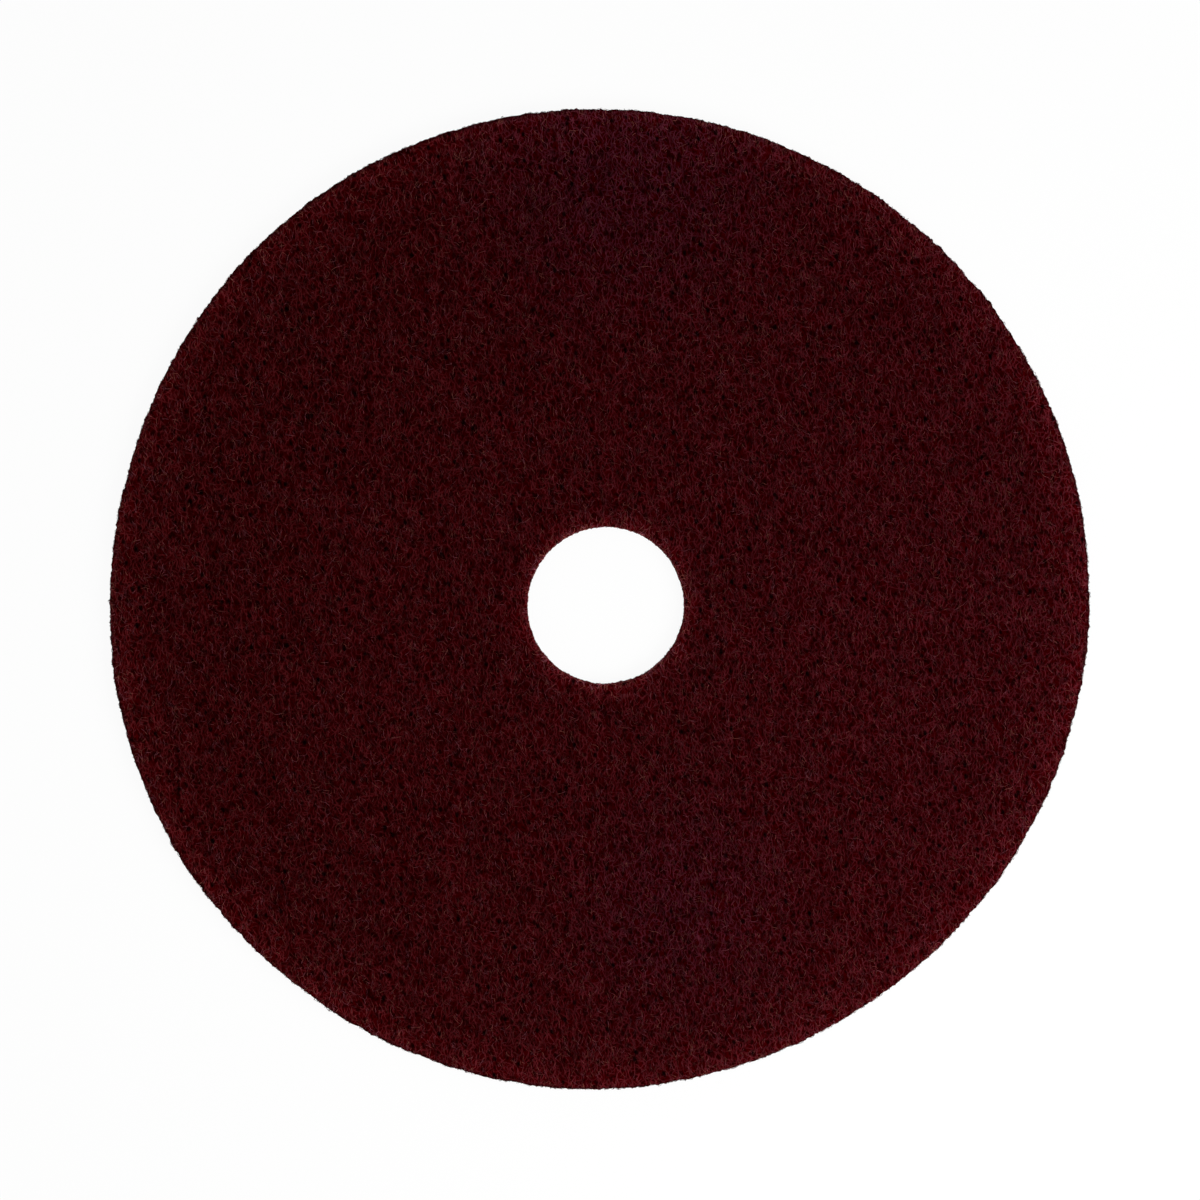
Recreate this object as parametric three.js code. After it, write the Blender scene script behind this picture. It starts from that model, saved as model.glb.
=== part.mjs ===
// A floor polishing pad: one disc, die-cut from a thick web of crimped nylon fibres that are bonded
// with an abrasive resin. It lies flat under a rotary floor machine. Both faces are alike, and the
// machine's pad driver grips either one, with its hub in the hole in the middle.
//
// Millimetres, +Z up. The origin is the middle of the lower face, on the axis of the hole.

import * as THREE from 'three';

// Driving dimensions.
const padDiameter = 508; // mean width across the wavy outline
const holeDiameter = 82;
const thickness = 10;

// The die pinches the springy web where it cuts, so each face rolls over to the cut edge in a quarter
// of an ellipse, this wide across the face and this deep into the thickness.
const rollWidth = 4;
const rollDepth = 1.8;

// The web relaxes after it is cut, so the outline isn't quite round. Each lobe adds a slow wave
// around it: how often it repeats, how far it stands out, and the bearing of one crest from +X.
const outlineLobes = [
  { count: 2, rise: 0.14, crest: 1 },
  { count: 3, rise: 0.73, crest: 118 },
  { count: 4, rise: 0.22, crest: 14 },
  { count: 5, rise: 0.34, crest: 52 },
  { count: 6, rise: 0.19, crest: 21 },
];

// How finely the round shapes are cut into facets.
const facetsAround = 120;
const facetsPerHalfRoll = 2;

const padRadius = padDiameter / 2;
const holeRadius = holeDiameter / 2;
const middleOfBand = (padRadius + holeRadius) / 2;

// The outline's distance outside the mean circle, at a bearing in radians.
function outlineRise(bearing) {
  let rise = 0;
  for (const lobe of outlineLobes) {
    const crest = THREE.MathUtils.degToRad(lobe.crest);
    rise += lobe.rise * Math.cos(lobe.count * (bearing - crest));
  }
  return rise;
}

// The section of the disc, as a closed loop of points: the distance from the axis, and the height.
// It runs out along the lower face, up the outer edge, in along the upper face and down the hole.
function sectionPoints() {
  const quarter = Math.PI / 2;
  const outerCentre = padRadius - rollWidth;
  const innerCentre = holeRadius + rollWidth;
  const lowCentre = rollDepth;
  const highCentre = thickness - rollDepth;

  const section = new THREE.Path();
  section.moveTo(innerCentre, 0);
  section.lineTo(outerCentre, 0);
  section.absellipse(outerCentre, lowCentre, rollWidth, rollDepth, -quarter, 0);
  section.lineTo(padRadius, highCentre);
  section.absellipse(outerCentre, highCentre, rollWidth, rollDepth, 0, quarter);
  section.lineTo(innerCentre, thickness);
  section.absellipse(innerCentre, highCentre, rollWidth, rollDepth, quarter, 2 * quarter);
  section.lineTo(holeRadius, lowCentre);
  section.absellipse(innerCentre, lowCentre, rollWidth, rollDepth, 2 * quarter, 3 * quarter);

  const points = section.getPoints(facetsPerHalfRoll);
  points[points.length - 1].copy(points[0]);
  return points;
}

// The section turned about +Z, with its outer half moved out or in to follow the outline.
function padGeometry() {
  const geometry = new THREE.LatheGeometry(sectionPoints(), facetsAround);
  geometry.rotateX(Math.PI / 2);

  const place = geometry.getAttribute('position');
  for (let i = 0; i < place.count; i += 1) {
    const x = place.getX(i);
    const y = place.getY(i);
    const distance = Math.hypot(x, y);
    if (distance > middleOfBand) {
      const stretch = 1 + outlineRise(Math.atan2(y, x)) / distance;
      place.setXY(i, x * stretch, y * stretch);
    }
  }
  geometry.computeVertexNormals();
  return geometry;
}

// Dark maroon nylon fibre under a dull coat of resin and fine grit.
const bondedWeb = new THREE.MeshStandardMaterial({
  name: 'bonded_web',
  color: 0x2d0709,
  roughness: 0.85,
  metalness: 0,
});

const pad = new THREE.Mesh(padGeometry(), bondedWeb);
pad.name = 'polishing_pad';

const model = new THREE.Group();
model.name = 'floor_polishing_pad';
model.add(pad);

export default model;
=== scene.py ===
"""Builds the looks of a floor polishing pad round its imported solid, in metres.

The pad is a disc of non-woven web. Crimped nylon fibres lie matted in all directions, a maroon
resin bonds them where they cross, and fine grit sits in the resin. The bonded body carries the
pattern of the dense web under the surface. The loose fibres over it are modelled one by one:
they rise out of the body, run along the surface in crimped arcs and dive back in.
"""

import math

import bpy
import numpy as np
from bpy.props import FloatProperty, FloatVectorProperty, IntProperty, PointerProperty
from bpy.types import Operator, Panel, PropertyGroup
from mathutils import Matrix, Vector


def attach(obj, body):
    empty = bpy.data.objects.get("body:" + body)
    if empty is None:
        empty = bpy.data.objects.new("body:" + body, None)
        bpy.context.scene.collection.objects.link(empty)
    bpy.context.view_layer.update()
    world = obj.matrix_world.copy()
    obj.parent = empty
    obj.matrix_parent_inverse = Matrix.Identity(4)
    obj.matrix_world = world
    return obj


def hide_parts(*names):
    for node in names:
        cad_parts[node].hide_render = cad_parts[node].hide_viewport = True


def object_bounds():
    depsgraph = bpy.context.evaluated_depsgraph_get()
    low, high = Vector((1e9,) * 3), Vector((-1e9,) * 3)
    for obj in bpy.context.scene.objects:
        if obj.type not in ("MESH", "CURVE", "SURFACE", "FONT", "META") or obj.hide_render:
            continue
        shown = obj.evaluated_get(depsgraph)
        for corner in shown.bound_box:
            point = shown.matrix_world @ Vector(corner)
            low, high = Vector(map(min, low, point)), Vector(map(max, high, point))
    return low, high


bl_info = {
    "name": "Floor Polishing Pad",
    "version": (1, 0, 0),
    "blender": (4, 5, 0),
    "location": "View3D > Sidebar > Floor Pad",
    "description": "Bonded non-woven web, its loose fibres and a plain studio",
    "category": "Object",
}

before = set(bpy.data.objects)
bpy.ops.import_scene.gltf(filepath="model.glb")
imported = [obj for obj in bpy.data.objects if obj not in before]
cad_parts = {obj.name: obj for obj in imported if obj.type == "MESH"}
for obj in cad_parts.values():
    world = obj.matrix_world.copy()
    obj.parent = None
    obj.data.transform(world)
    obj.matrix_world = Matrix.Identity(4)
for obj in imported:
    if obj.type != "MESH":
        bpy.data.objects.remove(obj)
cad_low, cad_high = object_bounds()

MM = 0.001
TURN = 2 * math.pi
PAD_NODE = "polishing_pad"
PAD_BODY = "root"


def cad_points():
    """The solid's own vertices, as an array with a row for each."""
    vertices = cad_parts[PAD_NODE].data.vertices
    points = np.zeros(len(vertices) * 3, np.float32)
    vertices.foreach_get("co", points)
    return points.reshape(-1, 3).astype(float)


def cad_outline():
    """Bearings round the solid, in order, and the furthest that it reaches from the axis at each."""
    points = cad_points()
    bearing = np.arctan2(points[:, 1], points[:, 0]) % TURN
    distance = np.hypot(points[:, 0], points[:, 1])
    steps, group = np.unique(np.round(bearing, 3), return_inverse=True)
    reach = np.zeros(len(steps))
    np.maximum.at(reach, group, distance)
    return steps, reach


OUTLINE_BEARINGS, OUTLINE_REACH = cad_outline()
RIM_RADIUS = float(OUTLINE_REACH.mean())
HOLE_RADIUS = float(np.hypot(cad_points()[:, 0], cad_points()[:, 1]).min())
LOWEST = cad_low.z
HIGHEST = cad_high.z

# The machine lays its fibres a little more often along one line across the pad, from +X.
GRAIN_BEARING = math.radians(103)

# Layers of half-sunk strands: degrees aside from the grain, the share of each that shows, and its
# painted shade for how deep it lies, where 1 is the nearest and palest and deeper ones are darker.
STRAND_LAYERS = (
    (-11, 0.45, 1.0),
    (9, 0.45, 0.9),
    (-31, 0.4, 0.85),
    (29, 0.35, 0.8),
    (-57, 0.3, 0.75),
    (62, 0.3, 0.65),
    (88, 0.25, 0.6),
)

# A wave texture at a scale of one repeats after this length.
WAVE_PERIOD = TURN / 20

# The lines of the first layer of strands lie this far apart, and those of each further layer a
# little further, so that the layers never line up.
STRAND_SPACING = 1.5 * MM
STRAND_SPACING_STEP = 0.1 * MM

# Sizes of the web's other patterns: grit in the resin, tufts of fibres, and the curls of the
# strands with how far they carry a strand aside.
GRIT_SIZE = 1.2 * MM
TUFT_SIZE = 6 * MM
CURL_SIZE = 4.2 * MM
CURL_REACH = 3.6 * MM

# Gaps in the web, painted dark as shade: the room that each has to itself, and the widths at which
# it begins and at which it is fully dark.
SMALL_GAPS = (3.6 * MM, 3.0 * MM, 1.0 * MM)
DEEP_GAPS = (7.0 * MM, 2.9 * MM, 1.1 * MM)

# The bands of painted light at the cut edges: how far each reaches in, and how much paler it starts.
RIM_LIGHT_BAND = (11 * MM, 0.9)
HOLE_LIGHT_BAND = (3.4 * MM, 1.75)

# How much bluer the colour is: a rise towards +X over the whole pad, and soft round patches where
# the dye has taken bluer, each with its middle's X and Y and its reach in millimetres, and its
# strength.
BLUER_TOWARDS_X = 0.3
DYE_PATCHES = ((10, 225, 110, 0.9), (38, -158, 85, 0.65))

# How widely the headings of fibres near the grain are spread, and how much a usual fibre bends.
GRAIN_SPREAD = math.radians(24)
USUAL_BEND = math.radians(55)

# Rows of points round each rolled edge, and as many up each wall.
ROLL_ROWS = 4

# The soft lamp's middle and width, and half the width of the paper floor.
LAMP_PLACE = (0.5, -0.34, 0.72)
LAMP_WIDTH = 0.7
FLOOR_REACH = 3.0


def linear(hex_colour):
    """An sRGB colour such as "2c0a0c" as the linear red, green and blue that shaders take."""
    parts = [int(hex_colour[i : i + 2], 16) / 255 for i in (0, 2, 4)]
    return tuple(c / 12.92 if c <= 0.04045 else ((c + 0.055) / 1.055) ** 2.4 for c in parts)


def length_value(name, description, default):
    """A length that a user may change, in metres."""
    return FloatProperty(
        name=name, description=description, default=default, min=0.0, precision=5, unit="LENGTH"
    )


def colour_value(name, description, hex_colour):
    """A colour that a user may change."""
    return FloatVectorProperty(
        name=name,
        description=description,
        default=linear(hex_colour),
        min=0.0,
        max=1.0,
        size=3,
        subtype="COLOR",
    )


class WebSizes(PropertyGroup):
    """Sizes of the bonded web that its faces and its cut edges share."""

    loft: length_value("Loft", "How far loose fibres stand over the bonded body", 0.55 * MM)
    relief: length_value("Relief", "Usual rise or fall of the faces", 0.12 * MM)
    roll_width: length_value("Roll width", "Width of the rolled edge across a face", 4 * MM)
    roll_depth: length_value("Roll depth", "Depth of the rolled edge down a wall", 1.8 * MM)
    edge_waves: length_value("Edge waves", "Usual depth of one octave of edge waves", 0.165 * MM)
    face_step: length_value("Face step", "Distance between rings of points on a face", 3.2 * MM)


class FibreSizes(PropertyGroup):
    """Sizes and numbers of the loose fibres."""

    width: length_value("Width", "Width of a usual fibre with its coat of resin", 0.2 * MM)
    matted_length: length_value("Matted length", "Usual length of a matted fibre", 4.4 * MM)
    loose_length: length_value("Loose length", "Usual length of a loose fibre", 6.6 * MM)
    edge_length: length_value("Edge length", "Usual length of a fibre cut at an edge", 4 * MM)
    matted_count: IntProperty(
        name="Matted", description="Matted fibres on top, in two pieces", default=28000
    )
    loose_count: IntProperty(name="Loose", description="Loose fibres on top", default=10900)
    lower_count: IntProperty(name="Lower", description="Matted fibres below", default=13000)
    outer_count: IntProperty(name="Outer edge", description="Fibres on the rim", default=6000)
    hole_count: IntProperty(name="Hole edge", description="Fibres in the hole", default=1400)
    crimp: FloatProperty(
        name="Crimp",
        description="Usual angle that a fibre's heading swings to each side",
        default=math.radians(32),
        subtype="ANGLE",
    )
    along_grain: FloatProperty(
        name="Along grain",
        description="Share of the fibres that lie near the web's main line",
        default=0.62,
        min=0.0,
        max=1.0,
        subtype="FACTOR",
    )


class WebColours(PropertyGroup):
    """Colours of the dyed fibres and of the resin between them."""

    # Pits: painted shade in the gaps between fibres; the grit's darker specks take this colour too.
    pit: colour_value("Pits", "Gaps between fibres, where the web is in its own shade", "130000")
    body: colour_value("Body", "Dense web under the surface", "2a0001")
    # Strands and violet: partly the fibres' own colour and partly painted sheen, drawn greyer than the
    # dye.
    strand: colour_value("Strands", "Fibres that are half sunk in the body", "4b1518")
    violet: colour_value("Violet", "Strands where the dye has taken bluer", "481a26")
    dark_fibre: colour_value("Dark fibres", "The darkest of the loose fibres", "300507")
    # The pale fibre colours are partly the fibres' own worn colour and partly painted sheen.
    tan_fibre_and_sheen: colour_value("Tan fibres", "Loose fibres worn down to a brown", "7f483f")
    pink_fibre_and_sheen: colour_value("Pink fibres", "Loose fibres worn down to a dusty pink", "7e434d")


class StudioValues(PropertyGroup):
    """The camera and the light."""

    distance: length_value("Distance", "From the camera to the pad's upper face", 1119 * MM)
    lens: FloatProperty(name="Lens", description="Focal length", default=65.0, unit="CAMERA")
    tilt: FloatProperty(
        name="Tilt",
        description="How far the camera stands off the pad's axis",
        default=math.radians(5.6),
        subtype="ANGLE",
    )
    tilt_bearing: FloatProperty(
        name="Tilt bearing",
        description="The side that the camera stands on, from +X",
        default=math.radians(137.5),
        subtype="ANGLE",
    )
    aim_x: FloatProperty(name="Aim X", description="Middle of the picture", default=-3.43 * MM)
    aim_y: FloatProperty(name="Aim Y", description="Middle of the picture", default=3.24 * MM)
    ambient: FloatProperty(name="Ambient", description="Light from all round", default=0.48)
    key_power: FloatProperty(name="Key", description="Power of the soft lamp", default=6.8)


def bilinear(field, column, row):
    """Reads a grid of values between its cells: the four round a place, each weighted by how near
    it is. The grid repeats past its ends."""
    left = np.floor(column).astype(int)
    low = np.floor(row).astype(int)
    across = column - left
    up = row - low
    rows, columns = field.shape
    a = field[low % rows, left % columns]
    b = field[low % rows, (left + 1) % columns]
    c = field[(low + 1) % rows, left % columns]
    d = field[(low + 1) % rows, (left + 1) % columns]
    return (a * (1 - across) + b * across) * (1 - up) + (c * (1 - across) + d * across) * up


class Relief:
    """The gentle rise and fall of a face: random noise of which only the waves between two lengths
    are kept, each weaker the shorter it is, with a usual height of one."""

    span = 0.56
    cells = 512

    def __init__(self, seed, shortest, longest):
        noise = np.random.default_rng(seed).standard_normal((self.cells, self.cells))
        rate = np.fft.fftfreq(self.cells, self.span / self.cells)
        rates = np.hypot(rate[:, None], rate[None, :])
        kept = (rates > 1 / longest) & (rates < 1 / shortest)
        strength = np.where(kept, 1 / np.maximum(rates, 1 / self.span), 0)
        self.field = np.fft.ifft2(np.fft.fft2(noise) * strength).real
        self.field /= self.field.std()

    def at(self, x, y):
        scale = self.cells / self.span
        return bilinear(self.field, x * scale, y * scale)


class EdgeWaves:
    """The ragged line of a cut edge: at each of a few heights, a sum of waves round the edge with
    random phases, where each octave has a usual depth of one, and a blend between the heights."""

    steps = 4096
    layers = 6

    def __init__(self, seed, fewest, most):
        random = np.random.default_rng(seed)
        count = np.arange(fewest, most)
        phase = random.uniform(0, TURN, (self.layers, len(count)))
        spectrum = np.zeros((self.layers, self.steps // 2 + 1), complex)
        spectrum[:, fewest:most] = np.sqrt(2 / count) * np.exp(1j * phase) * self.steps / 2
        self.field = np.fft.irfft(spectrum, self.steps, axis=1)

    def at(self, bearing, height):
        share = np.clip((height - LOWEST) / (HIGHEST - LOWEST), 0, 1)
        return bilinear(self.field, bearing / TURN * self.steps, share * (self.layers - 1.001))


RELIEF = {1: Relief(11, 9 * MM, 90 * MM), -1: Relief(12, 9 * MM, 90 * MM)}
RIM_WAVES = EdgeWaves(21, 12, 1200)
HOLE_WAVES = EdgeWaves(22, 3, 180)


def rim_reach(bearing):
    """How far the solid reaches from the axis at each bearing."""
    return np.interp(bearing % TURN, OUTLINE_BEARINGS, OUTLINE_REACH, period=TURN)


def edge_shift(web, bearing, radius, height):
    """How far a point of the nominal disc moves out. The outline's slow lobes fade out over the
    whole face, and the ragged waves of a cut edge fade out within a few roll widths of it."""
    across = np.clip((radius - HOLE_RADIUS) / (RIM_RADIUS - HOLE_RADIUS), 0, 1)
    lobes = (rim_reach(bearing) - RIM_RADIUS) * across
    reach = 2 * web.roll_width
    near_rim = np.exp(-(np.maximum(RIM_RADIUS - radius, 0) / reach) ** 2)
    near_hole = np.exp(-(np.maximum(radius - HOLE_RADIUS, 0) / reach) ** 2)
    ragged = near_rim * RIM_WAVES.at(bearing, height) + 0.6 * near_hole * HOLE_WAVES.at(bearing, height)
    return lobes + web.edge_waves * ragged


def roll_drop(web, radius):
    """How far a face has rolled down at a nominal radius: over the last roll width before each
    edge it follows a quarter of an ellipse."""
    past_rim = np.maximum(radius - (RIM_RADIUS - web.roll_width), 0)
    past_hole = np.maximum(HOLE_RADIUS + web.roll_width - radius, 0)
    share = np.clip((past_rim + past_hole) / web.roll_width, 0, 1)
    return web.roll_depth * (1 - np.sqrt(1 - share**2))


def roll_inset(web, height):
    """How far a wall has rolled in at a height, by the same quarter ellipses."""
    past_top = np.maximum(height - (HIGHEST - web.roll_depth), 0)
    past_bottom = np.maximum(LOWEST + web.roll_depth - height, 0)
    share = np.clip((past_top + past_bottom) / web.roll_depth, 0, 1)
    return web.roll_width * (1 - np.sqrt(1 - share**2))


def add_mesh(name, points, triangles, material):
    """A smooth-shaded object at the origin, from an array of points and one of triangles."""
    mesh = bpy.data.meshes.new(name)
    mesh.vertices.add(len(points))
    mesh.vertices.foreach_set("co", points.astype(np.float32).ravel())
    mesh.loops.add(triangles.size)
    mesh.loops.foreach_set("vertex_index", triangles.astype(np.int32).ravel())
    mesh.polygons.add(len(triangles))
    mesh.polygons.foreach_set("loop_start", np.arange(0, triangles.size, 3, dtype=np.int32))
    mesh.update(calc_edges=True)
    if mesh.validate():
        raise ValueError(f"{name} had faulty faces")
    mesh.shade_smooth()
    mesh.materials.append(material)
    piece = bpy.data.objects.new(name, mesh)
    bpy.context.scene.collection.objects.link(piece)
    return piece


def band_triangles(first, first_count, second, second_count):
    """Triangles between two closed rings of points, given by their first points' numbers. Rings
    of equal size are joined by pairs of triangles. Where one ring has twice the points, each step
    of the coarse ring meets two steps of the fine one, in three triangles."""
    steps = min(first_count, second_count)
    i = np.arange(steps)
    following = (i + 1) % steps
    if first_count == second_count:
        a, b = first + i, first + following
        c, d = second + i, second + following
        return np.concatenate([np.stack([a, c, b], 1), np.stack([b, c, d], 1)])
    coarse, fine = (first, second) if first_count < second_count else (second, first)
    a, b = coarse + i, coarse + following
    c, d, e = fine + 2 * i, fine + 2 * i + 1, fine + (2 * i + 2) % (2 * steps)
    found = np.concatenate([np.stack([a, c, d], 1), np.stack([a, d, b], 1), np.stack([b, d, e], 1)])
    return found if coarse == first else found[:, ::-1]


def body_section(web):
    """Radius and height of each ring round the bonded body's section: up the hole's wall, out
    along the upper face, down the outer wall and in along the lower face. The body keeps the loft
    of the loose fibres inside the solid."""
    low, high = LOWEST + web.loft, HIGHEST - web.loft
    hole = HOLE_RADIUS + web.roll_width
    rim = RIM_RADIUS - web.roll_width
    arc = np.linspace(0, math.pi / 2, ROLL_ROWS + 1)[:-1]
    wall = np.linspace(low + web.roll_depth, high - web.roll_depth, ROLL_ROWS + 1)[:-1]
    face = np.linspace(hole, rim, int((rim - hole) / web.face_step) + 1)[:-1]
    wide, deep = web.roll_width * np.cos(arc), web.roll_depth * np.cos(arc)
    wide_in, deep_in = web.roll_width * np.sin(arc), web.roll_depth * np.sin(arc)
    radius = [
        hole - wide_in, np.full(ROLL_ROWS, HOLE_RADIUS), hole - wide, face,
        rim + wide_in, np.full(ROLL_ROWS, RIM_RADIUS), rim + wide, (hole + rim) - face,
    ]
    height = [
        low + web.roll_depth - deep, wall, high - web.roll_depth + deep_in, np.full(len(face), high),
        high - web.roll_depth + deep, (low + high) - wall, low + web.roll_depth - deep_in,
        np.full(len(face), low),
    ]
    return np.concatenate(radius), np.concatenate(height)


def ring_sizes(radius):
    """How many points each ring has: the count doubles at two radii, so that the points stay from
    one to two and a half millimetres apart."""
    return np.select([radius < 115 * MM, radius < 229 * MM], [288, 576], 1152)


def body_points(web, radius, height, count):
    """One ring of the body: the nominal circle, moved out by the edge's shift and up or down by
    the relief of its face, which fades out on the walls."""
    bearing = np.arange(count) / count * TURN
    out = radius + edge_shift(web, bearing, radius, height)
    x, y = out * np.cos(bearing), out * np.sin(bearing)
    middle = (LOWEST + HIGHEST) / 2
    side = 1 if height > middle else -1
    on_face = min(1, abs(height - middle) / (middle - LOWEST - web.loft)) ** 4
    z = height + on_face * web.relief * RELIEF[side].at(x, y)
    return np.stack([x, y, z], 1)


def body_mesh(web):
    """Points and triangles of the whole body."""
    radii, heights = body_section(web)
    counts = ring_sizes(radii)
    starts = np.concatenate([[0], np.cumsum(counts)])
    points = [body_points(web, r, z, n) for r, z, n in zip(radii, heights, counts)]
    rings = len(radii)
    bands = [
        band_triangles(starts[k], counts[k], starts[(k + 1) % rings], counts[(k + 1) % rings])
        for k in range(rings)
    ]
    return np.concatenate(points), np.concatenate(bands)


def fibre_paths(random, fibres, count, segments, usual_length):
    """Flat paths of crimped fibres round their own middles: a fibre's heading starts near the grain
    or anywhere, bends evenly to one side, and swings by a sine as it goes. Each step has the same
    length, along the heading half way through it."""
    near = random.random(count) < fibres.along_grain
    spread = random.normal(0, GRAIN_SPREAD, count)
    start = np.where(near, GRAIN_BEARING + spread, random.uniform(0, TURN, count))
    bend = random.normal(0, USUAL_BEND, count)
    swing = fibres.crimp * random.uniform(0.4, 1.6, count)
    waves = random.uniform(0.6, 1.5, count)
    phase = random.uniform(0, TURN, count)
    length = usual_length * random.uniform(0.6, 1.4, count)

    along = (np.arange(segments) + 0.5) / segments
    turning = np.sin(TURN * waves[:, None] * along + phase[:, None])
    heading = start[:, None] + bend[:, None] * (along - 0.5) + swing[:, None] * turning
    step = (length / segments)[:, None]
    zero = np.zeros((count, 1))
    x = np.hstack([zero, np.cumsum(step * np.cos(heading), 1)])
    y = np.hstack([zero, np.cumsum(step * np.sin(heading), 1)])
    return x - x.mean(1, keepdims=True), y - y.mean(1, keepdims=True)


def fibre_heights(random, web, fibres, count, segments, highest):
    """Height over the body along each fibre: an arch as round as a half circle seen from the side,
    from a sunk end, up to the fibre's own lift and down to a sunk end."""
    along = np.linspace(0, 1, segments + 1)
    arch = np.sqrt(4 * along * (1 - along))
    sink = 0.8 * fibres.width
    lift = random.uniform(0.15, 1, count) ** 1.5 * highest * web.loft
    return -sink + (sink + lift[:, None]) * arch[None, :]


def tube_mesh(centre, up, width):
    """Closed three-sided tubes along many paths: the ends are points, and every point between has
    a ring of three, a third of a turn apart, in the plane of the surface's normal and the side."""
    count, stops = centre.shape[:2]
    along = np.gradient(centre, axis=1)
    side = np.cross(along, up)
    side /= np.linalg.norm(side, axis=2, keepdims=True)
    rise = np.cross(side, along)
    rise /= np.linalg.norm(rise, axis=2, keepdims=True)
    angle = math.pi / 2 + TURN / 3 * np.arange(3)
    half = (width / 2)[:, None, None, None]
    spokes = np.cos(angle)[:, None] * side[:, :, None, :] + np.sin(angle)[:, None] * rise[:, :, None, :]
    rings = (centre[:, :, None, :] + half * spokes)[:, 1:-1].reshape(count, -1, 3)
    points = np.concatenate([centre[:, :1], rings, centre[:, -1:]], 1)

    k = np.arange(3)
    following = (k + 1) % 3
    last = 3 * (stops - 2) + 1
    faces = [np.stack([np.zeros(3, int), 1 + k, 1 + following], 1)]
    for ring in range(stops - 3):
        a, b = 1 + 3 * ring + k, 1 + 3 * ring + following
        faces += [np.stack([a, a + 3, b], 1), np.stack([b, a + 3, b + 3], 1)]
    faces.append(np.stack([last - 3 + k, np.full(3, last), last - 3 + following], 1))
    one = np.concatenate(faces)
    every = one[None] + (np.arange(count) * (last + 1))[:, None, None]
    return points.reshape(-1, 3), every.reshape(-1, 3)


def add_fibres(name, random, centre, up, usual_width, material):
    """Tubes along the paths, with each fibre's own width and its own shade, from 0 to 1."""
    count = len(centre)
    points, triangles = tube_mesh(centre, up, usual_width * random.uniform(0.65, 1.3, count))
    piece = add_mesh(name, points, triangles, material)
    shade = np.repeat(random.random(count), len(points) // count)
    attribute = piece.data.attributes.new("shade", "FLOAT", "POINT")
    attribute.data.foreach_set("value", shade.astype(np.float32))
    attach(piece, PAD_BODY)
    return piece


def face_fibres(name, seed, side, count, segments, usual_length, highest, material):
    """Fibres on a face. Each lies at a random place of the disc. Its path is kept between the hole
    and the rim, and its height is added to the body's face there, rolled edges and relief too."""
    web, fibres = bpy.context.scene.pad_web, bpy.context.scene.pad_fibres
    random = np.random.default_rng(seed)
    x, y = fibre_paths(random, fibres, count, segments, usual_length)
    distance = np.sqrt(random.uniform(HOLE_RADIUS**2, RIM_RADIUS**2, count))[:, None]
    place = random.uniform(0, TURN, count)[:, None]
    x = x + distance * np.cos(place)
    y = y + distance * np.sin(place)

    bearing = np.arctan2(y, x) % TURN
    nominal = np.clip(np.hypot(x, y), HOLE_RADIUS + 0.3 * MM, RIM_RADIUS - 0.3 * MM)
    middle, half = (LOWEST + HIGHEST) / 2, (HIGHEST - LOWEST) / 2
    face = half - web.loft - roll_drop(web, nominal)
    out = nominal + edge_shift(web, bearing, nominal, middle + side * face)
    x, y = out * np.cos(bearing), out * np.sin(bearing)
    over = fibre_heights(random, web, fibres, count, segments, highest)
    height = face + side * web.relief * RELIEF[side].at(x, y) + over
    height = np.minimum(height, half - 0.5 * fibres.width)
    centre = np.stack([x, y, middle + side * height], 2)
    up = np.zeros_like(centre)
    up[..., 2] = side
    return add_fibres(name, random, centre, up, fibres.width, material)


def edge_fibres(name, seed, radius, facing, count, material):
    """Fibres on a cut wall, which faces away from the axis (1) or towards it (-1). A path's first
    direction runs round the wall and its second runs up it, and its height stands off the wall."""
    web, fibres = bpy.context.scene.pad_web, bpy.context.scene.pad_fibres
    random = np.random.default_rng(seed)
    segments = 4
    around, rise = fibre_paths(random, fibres, count, segments, fibres.edge_length)
    start = random.uniform(0, TURN, count)[:, None]
    margin = 0.5 * fibres.width
    middle = random.uniform(LOWEST + margin, HIGHEST - margin, count)[:, None]
    bearing = (start + around / radius) % TURN
    height = np.clip(middle + rise, LOWEST + margin, HIGHEST - margin)
    nominal = radius - facing * roll_inset(web, height)
    over = fibre_heights(random, web, fibres, count, segments, 0.6)
    out = nominal + edge_shift(web, bearing, nominal, height) + facing * over
    centre = np.stack([out * np.cos(bearing), out * np.sin(bearing), height], 2)
    up = facing * np.stack([np.cos(bearing), np.sin(bearing), np.zeros_like(bearing)], 2)
    return add_fibres(name, random, centre, up, fibres.width, material)


def add_node(tree, kind, settings=None, links=None):
    """Adds a node. A setting is one of the node's own values or the value of an input, and a link
    joins an output of another node to an input."""
    node = tree.nodes.new(kind)
    for name, value in (settings or {}).items():
        if isinstance(name, str) and hasattr(node, name):
            setattr(node, name, value)
        else:
            node.inputs[name].default_value = value
    for name, source in (links or {}).items():
        tree.links.new(source, node.inputs[name])
    return node


def arithmetic(tree, operation, *values):
    """The result of a sum of one kind on numbers or on other nodes' results."""
    node = add_node(tree, "ShaderNodeMath", {"operation": operation})
    for i, value in enumerate(values):
        if isinstance(value, (int, float)):
            node.inputs[i].default_value = value
        else:
            tree.links.new(value, node.inputs[i])
    return node.outputs[0]


def eased(tree, value, start, end, low=0.0, high=1.0):
    """A value turned smoothly from one range into another, and held at its ends."""
    node = add_node(
        tree,
        "ShaderNodeMapRange",
        {"interpolation_type": "SMOOTHSTEP", 1: start, 2: end, 3: low, 4: high},
        {"Value": value},
    )
    return node.outputs["Result"]


def blended(tree, factor, first, second, blend_type="MIX"):
    """Two colours mixed by a factor. A colour is a tuple or another node's result."""
    settings = {"data_type": "RGBA", "blend_type": blend_type}
    links = {}
    for key, value in ((0, factor), (6, first), (7, second)):
        if isinstance(value, (int, float)):
            settings[key] = value
        elif isinstance(value, tuple):
            settings[key] = (*value, 1)
        else:
            links[key] = value
    return add_node(tree, "ShaderNodeMix", settings, links).outputs[2]


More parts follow.
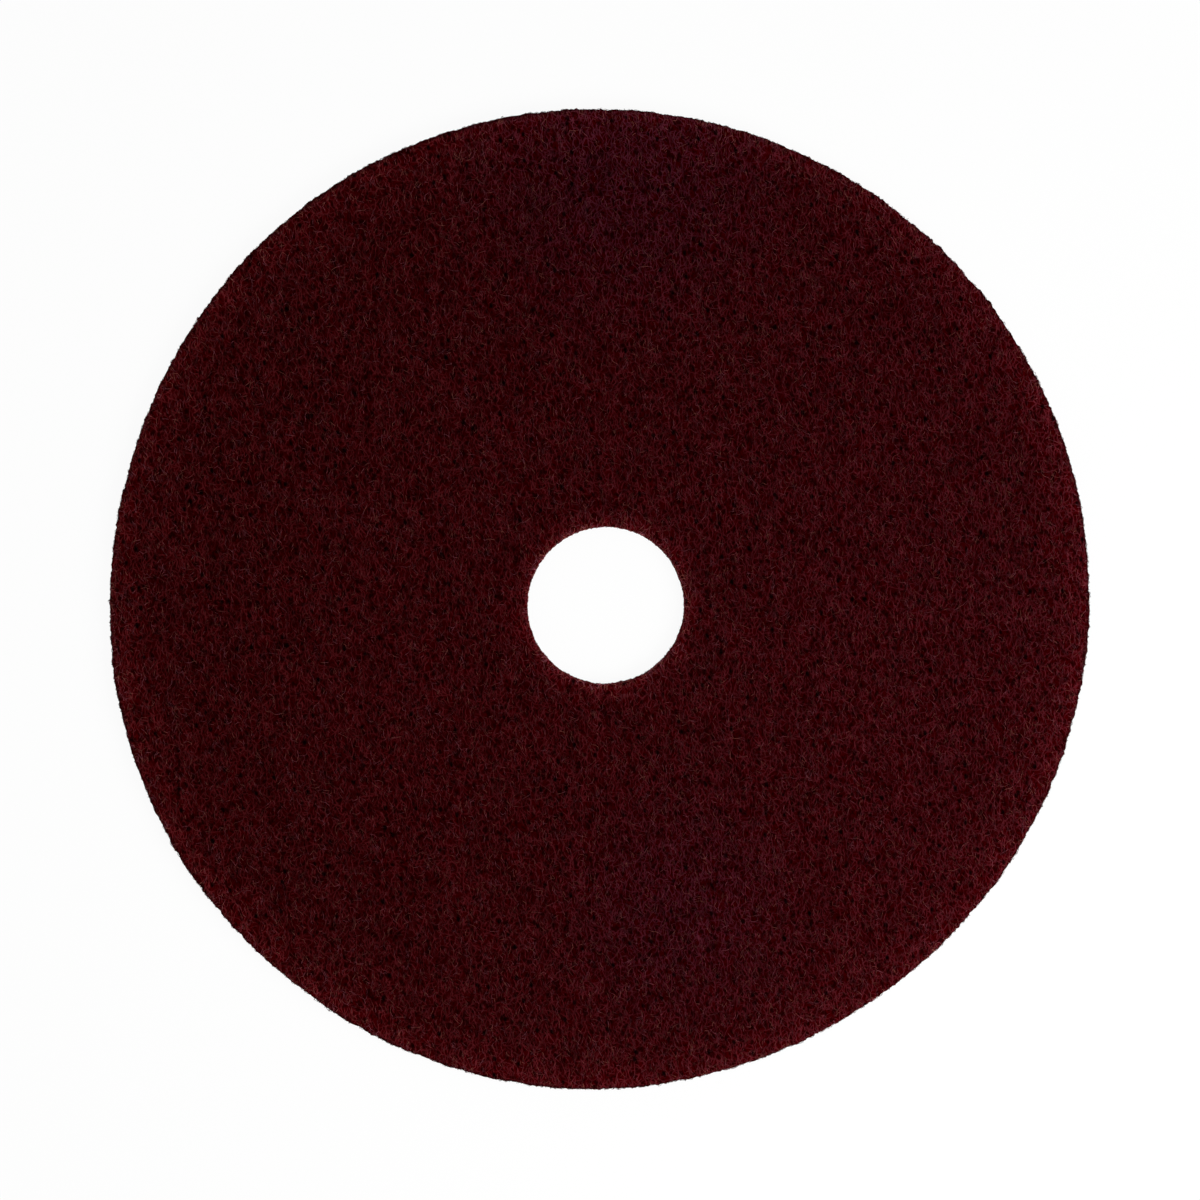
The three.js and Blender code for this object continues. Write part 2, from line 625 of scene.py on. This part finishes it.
def noise(tree, place, size, detail=0.0, offset=0.0):
    """Smooth noise whose bumps are about one size apart, in metres. Offset picks another sample."""
    moved = add_node(
        tree, "ShaderNodeMapping", {"Location": (offset, offset / 2, 0)}, {"Vector": place}
    )
    node = add_node(
        tree,
        "ShaderNodeTexNoise",
        {"Scale": 1 / size, "Detail": detail, "Roughness": 0.55},
        {"Vector": moved.outputs[0]},
    )
    return node.outputs[0]


def turned(tree, place, bearing, stretch=1.0):
    """A place read along and across a bearing, so that a pattern is drawn out along it."""
    return add_node(
        tree,
        "ShaderNodeMapping",
        {"vector_type": "TEXTURE", "Rotation": (0, 0, bearing), "Scale": (stretch, 1, 1)},
        {"Vector": place},
    ).outputs[0]


def strand_layer(tree, place, bearing, kept, layer):
    """Thin bright lines, 1.5 to 2.1 mm apart, that run along a bearing and are broken into
    stretches by noise drawn out the same way. A greater value of kept leaves more of them."""
    spacing = STRAND_SPACING + STRAND_SPACING_STEP * layer
    lengthways = turned(tree, place, bearing)
    across = add_node(
        tree,
        "ShaderNodeTexWave",
        {
            "bands_direction": "Y",
            "Scale": WAVE_PERIOD / spacing,
            "Phase Offset": 1.7 * layer,
        },
        {"Vector": lengthways},
    ).outputs["Fac"]
    line = eased(tree, across, 0.86, 0.98)
    stretched = turned(tree, place, bearing, 3.6)
    present = noise(tree, stretched, 1.9 * MM, offset=0.9 + 0.37 * layer)
    threshold = 0.5 + 0.28 * (0.5 - kept)
    return arithmetic(tree, "MULTIPLY", line, eased(tree, present, threshold, threshold + 0.1))


def fading(tree, depth, reach, strength):
    """A share that is greatest at an edge and falls by the natural exponential, to about a third
    over each reach."""
    power = arithmetic(tree, "EXPONENT", arithmetic(tree, "DIVIDE", depth, -reach))
    return arithmetic(tree, "MULTIPLY", power, strength)


def painted_edge_light_and_shade(tree, place):
    """Painted light and shade at the cut edges: how much paler the web is painted near them, for the
    light that reaches the fibres there from the side. The last millimetre or so of the rim is painted
    darker again, painted shade where it turns down into its own shade."""
    flat = add_node(tree, "ShaderNodeVectorMath", {"operation": "MULTIPLY", 1: (1, 1, 0)}, {0: place})
    radius = add_node(tree, "ShaderNodeVectorMath", {"operation": "LENGTH"}, {0: flat.outputs[0]})
    radius = radius.outputs["Value"]
    from_rim = arithmetic(tree, "SUBTRACT", RIM_RADIUS, radius)
    from_hole = arithmetic(tree, "SUBTRACT", radius, HOLE_RADIUS)
    # Painted light: paler bands towards the rim and towards the hole.
    rim = fading(tree, from_rim, *RIM_LIGHT_BAND)
    hole = fading(tree, from_hole, *HOLE_LIGHT_BAND)
    pale = arithmetic(tree, "ADD", arithmetic(tree, "ADD", rim, hole), 1.0)
    # Painted shade: over the rim's last 1.6 mm the level falls to 0.62.
    return arithmetic(tree, "MULTIPLY", pale, eased(tree, from_rim, 0.2 * MM, 1.6 * MM, 0.62, 1))


def bluer_tint(tree, place):
    """How much bluer the colour is, from 0 up: a little more towards +X, and most in two soft round
    patches where the dye has taken bluer, one at the +Y end and one opposite."""
    parts = add_node(tree, "ShaderNodeSeparateXYZ", {}, {0: place}).outputs
    total = eased(tree, parts["X"], -230 * MM, 230 * MM, 0.0, BLUER_TOWARDS_X)
    for x, y, reach, strength in DYE_PATCHES:
        aside = add_node(
            tree,
            "ShaderNodeVectorMath",
            {"operation": "DISTANCE", 1: (x * MM, y * MM, HIGHEST)},
            {0: place},
        ).outputs["Value"]
        total = arithmetic(tree, "ADD", total, eased(tree, aside, reach * MM, 0, 0, strength))
    return total


def web_shader(tree, colour, roughness, gloss):
    """Matte dyed nylon under resin. Nylon has an index of 1.53. The loose web traps its gloss, so
    only a small part of the usual reflection is left, and part of the fibres' sheen is painted into
    their colours instead."""
    return add_node(
        tree,
        "ShaderNodeBsdfPrincipled",
        {"Roughness": roughness, "IOR": 1.53, "Specular IOR Level": gloss},
        {"Base Color": colour},
    )


def new_material(name):
    """An empty material and its node tree."""
    material = bpy.data.materials.new(name)
    material.use_nodes = True
    material.node_tree.nodes.clear()
    return material, material.node_tree


def gaps(tree, place, spacing, widest, darkest):
    """Round gaps in the web, drawn out a little along the grain. Their middles are scattered in
    space, one to each cell of the spacing. A gap that the surface cuts through its middle is as
    wide as can be, and the further its middle lies from the surface, the less of it shows."""
    grained = turned(tree, place, GRAIN_BEARING, 1.4)
    distance = add_node(
        tree, "ShaderNodeTexVoronoi", {"Scale": 1 / spacing}, {"Vector": grained}
    ).outputs["Distance"]
    return eased(tree, distance, widest / 2 / spacing, darkest / 2 / spacing)


def painted_deep_gap_shade(tree, place):
    """Painted shade over the few deepest gaps, about 2 mm wide: how much light is left where even the
    loose fibres sink out of the light, painted into the colour of the body and of the fibres."""
    deep = gaps(tree, place, *DEEP_GAPS)
    return arithmetic(tree, "SUBTRACT", 1.0, arithmetic(tree, "MULTIPLY", deep, 0.85))


def bonded_web_material(colours):
    """Non-woven nylon web, air-laid and bonded with sprayed resin. Under the loose fibres the eye
    meets half-sunk strands in every direction, grit in the resin and dark gaps about 2 mm wide. The
    gaps' darkness, the deeper strands' darkness and the light and shade at the cut edges are painted.
    Strands of 0.1 mm are too fine to show at this size, so they are drawn about 0.3 mm wide."""
    material, tree = new_material("sprayed_resin_bonded_nylon_web")
    place = add_node(tree, "ShaderNodeTexCoord").outputs["Object"]
    grained = turned(tree, place, GRAIN_BEARING, 1.5)
    curl = add_node(
        tree, "ShaderNodeTexNoise", {"Scale": 1 / CURL_SIZE, "Detail": 2.0}, {"Vector": place}
    ).outputs["Color"]
    curled = add_node(
        tree,
        "ShaderNodeVectorMath",
        {"operation": "MULTIPLY_ADD", 1: (CURL_REACH, CURL_REACH, 0)},
        {0: curl, 2: place},
    ).outputs[0]

    strands = None
    for layer, (aside, kept, depth_shade) in enumerate(STRAND_LAYERS):
        strand = strand_layer(tree, curled, GRAIN_BEARING + math.radians(aside), kept, layer)
        # Painted shade: deeper layers of strands are drawn darker.
        strand = arithmetic(tree, "MULTIPLY", strand, depth_shade)
        strands = strand if strands is None else arithmetic(tree, "MAXIMUM", strands, strand)

    shaded_pits = gaps(tree, curled, *SMALL_GAPS)
    grit = noise(tree, grained, GRIT_SIZE, detail=1.0, offset=5.1)
    tufts = noise(tree, grained, TUFT_SIZE, detail=1.5, offset=6.3)

    bluer = bluer_tint(tree, place)
    # Partly painted sheen: the strands' greyish colour.
    strand_and_sheen_colour = blended(tree, bluer, tuple(colours.strand), tuple(colours.violet))
    ground = blended(tree, eased(tree, grit, 0.25, 0.6), tuple(colours.pit), tuple(colours.body))
    fabric = blended(tree, strands, ground, strand_and_sheen_colour)
    # Painted shade: the gaps are painted in the pits' colour.
    shaded = blended(tree, arithmetic(tree, "MULTIPLY", shaded_pits, 0.9), fabric, tuple(colours.pit))
    tufted = eased(tree, tufts, 0.25, 0.75, 0.8, 1.2)
    # Painted light and shade at the cut edges, on top of the tufts' tone.
    level = arithmetic(tree, "MULTIPLY", tufted, painted_edge_light_and_shade(tree, place))
    # Painted shade over the deep gaps.
    level = arithmetic(tree, "MULTIPLY", level, painted_deep_gap_shade(tree, place))
    grey = add_node(tree, "ShaderNodeCombineColor", {}, {0: level, 1: level, 2: level}).outputs[0]
    colour = blended(tree, 1.0, shaded, grey, "MULTIPLY")

    height = arithmetic(tree, "SUBTRACT", strands, arithmetic(tree, "MULTIPLY", shaded_pits, 2.0))
    bump = add_node(
        tree, "ShaderNodeBump", {"Strength": 0.6, "Distance": 0.25 * MM}, {"Height": height}
    )
    shader = web_shader(tree, colour, 0.9, 0.001)
    tree.links.new(bump.outputs[0], shader.inputs["Normal"])
    add_node(tree, "ShaderNodeOutputMaterial", {}, {"Surface": shader.outputs[0]})
    return material


def fibre_material(colours):
    """Crimped nylon staple fibre, drawn, dyed and sprayed with resin and grit. Some fibres keep a
    full dark coat and some are worn to a paler, dustier red, and each changes a little along its
    length where grit sits on it. The paler fibres' greyish lift is partly painted sheen. All pieces of
    loose fibres share one such material."""
    name = "crimped_dyed_nylon_fibre"
    if name in bpy.data.materials:
        return bpy.data.materials[name]
    material, tree = new_material(name)
    place = add_node(tree, "ShaderNodeTexCoord").outputs["Object"]
    shade = add_node(tree, "ShaderNodeAttribute", {"attribute_name": "shade"}).outputs["Fac"]
    pale = arithmetic(tree, "POWER", shade, 1.8)
    grit = noise(tree, place, GRIT_SIZE, detail=1.0, offset=1.3)
    # Partly wear and partly painted sheen: the paler fibres take the greyish colours below.
    worn = arithmetic(tree, "MULTIPLY", pale, eased(tree, grit, 0.3, 0.7, 0.35, 1.2))
    bluer = bluer_tint(tree, place)
    darker_blue = arithmetic(tree, "MULTIPLY", bluer, 0.3)
    dark = blended(tree, darker_blue, tuple(colours.dark_fibre), tuple(colours.violet))
    tint = eased(tree, noise(tree, place, 2.6 * MM, offset=8.4), 0.4, 0.6)
    dusty = blended(tree, tint, tuple(colours.tan_fibre_and_sheen), tuple(colours.pink_fibre_and_sheen))
    fibre = blended(tree, worn, dark, dusty)
    # Painted light and shade at the cut edges, times the painted shade over the deep gaps.
    level = arithmetic(tree, "MULTIPLY", painted_edge_light_and_shade(tree, place), painted_deep_gap_shade(tree, place))
    grey = add_node(tree, "ShaderNodeCombineColor", {}, {0: level, 1: level, 2: level}).outputs[0]
    colour = blended(tree, 1.0, fibre, grey, "MULTIPLY")
    shader = web_shader(tree, colour, 0.7, 0.012)
    add_node(tree, "ShaderNodeOutputMaterial", {}, {"Surface": shader.outputs[0]})
    return material


def seen_directly(tree):
    """1 for what the camera sees straight, in a gloss or through glass, and 0 for all other light."""
    path = add_node(tree, "ShaderNodeLightPath").outputs
    glossy = arithmetic(tree, "MAXIMUM", path["Is Camera Ray"], path["Is Glossy Ray"])
    return arithmetic(tree, "MAXIMUM", glossy, path["Is Transmission Ray"])


def studio_paper_material():
    """Matt white background paper, pressed smooth. It takes the pad's soft shadow, and most of
    what is seen of it is its own even white, which is all that is left a metre away."""
    material, tree = new_material("matt_white_paper")
    place = add_node(tree, "ShaderNodeTexCoord").outputs["Object"]
    away = add_node(tree, "ShaderNodeVectorMath", {"operation": "LENGTH"}, {0: place})
    even = eased(tree, away.outputs["Value"], 0.35, 1.0, 0.93, 1.0)
    paper = add_node(tree, "ShaderNodeBsdfDiffuse", {"Color": (*linear("f8f8f8"), 1)})
    white = add_node(tree, "ShaderNodeEmission", {"Color": (1, 1, 1, 1), "Strength": 1.0})
    share = arithmetic(tree, "MULTIPLY", seen_directly(tree), even)
    mixed = add_node(
        tree, "ShaderNodeMixShader", {}, {0: share, 1: paper.outputs[0], 2: white.outputs[0]}
    )
    add_node(tree, "ShaderNodeOutputMaterial", {}, {"Surface": mixed.outputs[0]})
    return material


def studio_world(level):
    """Even light from all round, behind which the camera sees plain white."""
    world = bpy.data.worlds.new("soft_white_room")
    bpy.context.scene.world = world
    world.use_nodes = True
    tree = world.node_tree
    tree.nodes.clear()
    light = add_node(tree, "ShaderNodeBackground", {"Color": (1, 1, 1, 1), "Strength": level})
    white = add_node(tree, "ShaderNodeBackground", {"Color": (1, 1, 1, 1), "Strength": 1.0})
    mixed = add_node(
        tree,
        "ShaderNodeMixShader",
        {},
        {0: seen_directly(tree), 1: light.outputs[0], 2: white.outputs[0]},
    )
    add_node(tree, "ShaderNodeOutputWorld", {}, {"Surface": mixed.outputs[0]})


def facing_matrix(position, target, upwards):
    """The matrix of a camera or lamp that stands at a position, looks at a target along its own
    -Z, and keeps its own +Y as near to a direction as it can."""
    forward = (target - position).normalized()
    right = forward.cross(upwards).normalized()
    up = right.cross(forward)
    axes = Matrix((right, up, -forward)).transposed().to_4x4()
    return Matrix.Translation(position) @ axes


def add_camera(studio):
    """Looks down on the upper face from a little to one side, with +Y up in the picture."""
    camera = bpy.data.objects.new("camera", bpy.data.cameras.new("camera"))
    camera.data.lens = studio.lens
    camera.data.sensor_width = 36.0
    camera.data.clip_start = 0.05
    aim = Vector((studio.aim_x, studio.aim_y, HIGHEST))
    aside = math.sin(studio.tilt)
    offset = Vector((
        aside * math.cos(studio.tilt_bearing),
        aside * math.sin(studio.tilt_bearing),
        math.cos(studio.tilt),
    ))
    camera.matrix_world = facing_matrix(aim + studio.distance * offset, aim, Vector((0, 1, 0)))
    bpy.context.scene.collection.objects.link(camera)
    bpy.context.scene.camera = camera


def add_lamp(name, position, size, power):
    """A square soft box that faces the middle of the pad."""
    data = bpy.data.lights.new(name, "AREA")
    data.shape = "SQUARE"
    data.size = size
    data.energy = power
    lamp = bpy.data.objects.new(name, data)
    lamp.matrix_world = facing_matrix(Vector(position), Vector((0, 0, 0)), Vector((0, 1, 0)))
    bpy.context.scene.collection.objects.link(lamp)


class PAD_OT_bonded_body(Operator):
    """Make the dense bonded web, which stands for the solid pad"""

    bl_idname = "floor_pad.bonded_body"
    bl_label = "Bonded Body"

    def execute(self, context):
        points, triangles = body_mesh(context.scene.pad_web)
        material = bonded_web_material(context.scene.pad_colours)
        body = add_mesh("bonded_body", points, triangles, material)
        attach(body, PAD_BODY)
        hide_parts(PAD_NODE)
        return {"FINISHED"}


class PAD_OT_face_fibres(Operator):
    """Lay the matted and the loose fibres on both faces"""

    bl_idname = "floor_pad.face_fibres"
    bl_label = "Face Fibres"

    def execute(self, context):
        fibres = context.scene.pad_fibres
        material = fibre_material(context.scene.pad_colours)
        short, long = fibres.matted_length, fibres.loose_length
        matted, loose, lower = fibres.matted_count, fibres.loose_count, fibres.lower_count
        face_fibres("upper_matted_fibres", 31, 1, matted // 2, 3, short, 0.5, material)
        face_fibres("upper_crossing_fibres", 34, 1, matted // 2, 3, short, 0.8, material)
        face_fibres("upper_loose_fibres", 32, 1, loose, 4, long, 1.0, material)
        face_fibres("lower_matted_fibres", 33, -1, lower, 3, short, 0.9, material)
        return {"FINISHED"}


class PAD_OT_edge_fibres(Operator):
    """Lay the cut fibres on the outer wall and on the hole's wall"""

    bl_idname = "floor_pad.edge_fibres"
    bl_label = "Edge Fibres"

    def execute(self, context):
        fibres = context.scene.pad_fibres
        material = fibre_material(context.scene.pad_colours)
        edge_fibres("outer_edge_fibres", 41, RIM_RADIUS, 1, fibres.outer_count, material)
        edge_fibres("hole_edge_fibres", 42, HOLE_RADIUS, -1, fibres.hole_count, material)
        return {"FINISHED"}


class PAD_OT_studio(Operator):
    """Set up the paper floor, the soft light and the camera"""

    bl_idname = "floor_pad.studio"
    bl_label = "Studio"

    def execute(self, context):
        studio = context.scene.pad_studio
        signs = ((-1, -1), (1, -1), (1, 1), (-1, 1))
        height = LOWEST - 0.05 * MM
        points = np.array([(x * FLOOR_REACH, y * FLOOR_REACH, height) for x, y in signs])
        floor = add_mesh(
            "paper_floor", points, np.array([[0, 1, 2], [0, 2, 3]]), studio_paper_material()
        )
        studio_world(studio.ambient)
        add_lamp("soft_box", LAMP_PLACE, LAMP_WIDTH, studio.key_power)
        add_camera(studio)
        context.scene.view_settings.view_transform = "Standard"
        return {"FINISHED"}


class PAD_PT_floor_pad(Panel):
    """Lists the pad's sizes and colours, and the steps that build it"""

    bl_label = "Floor Pad"
    bl_idname = "PAD_PT_floor_pad"
    bl_space_type = "VIEW_3D"
    bl_region_type = "UI"
    bl_category = "Floor Pad"

    def draw(self, context):
        for group in (getattr(context.scene, name) for name in SETTINGS):
            box = self.layout.box()
            for name in group.__annotations__:
                box.prop(group, name)
        for step in STEPS:
            self.layout.operator(step.bl_idname)


SETTINGS = {
    "pad_web": WebSizes,
    "pad_fibres": FibreSizes,
    "pad_colours": WebColours,
    "pad_studio": StudioValues,
}
STEPS = (PAD_OT_bonded_body, PAD_OT_face_fibres, PAD_OT_edge_fibres, PAD_OT_studio)
CLASSES = (*SETTINGS.values(), *STEPS, PAD_PT_floor_pad)


def register():
    for cls in CLASSES:
        bpy.utils.register_class(cls)
    for name, group in SETTINGS.items():
        setattr(bpy.types.Scene, name, PointerProperty(type=group))


def unregister():
    for name in SETTINGS:
        delattr(bpy.types.Scene, name)
    for cls in reversed(CLASSES):
        bpy.utils.unregister_class(cls)


def main():
    register()
    bpy.ops.floor_pad.bonded_body()
    bpy.ops.floor_pad.face_fibres()
    bpy.ops.floor_pad.edge_fibres()
    bpy.ops.floor_pad.studio()


if __name__ == "__main__":
    main()
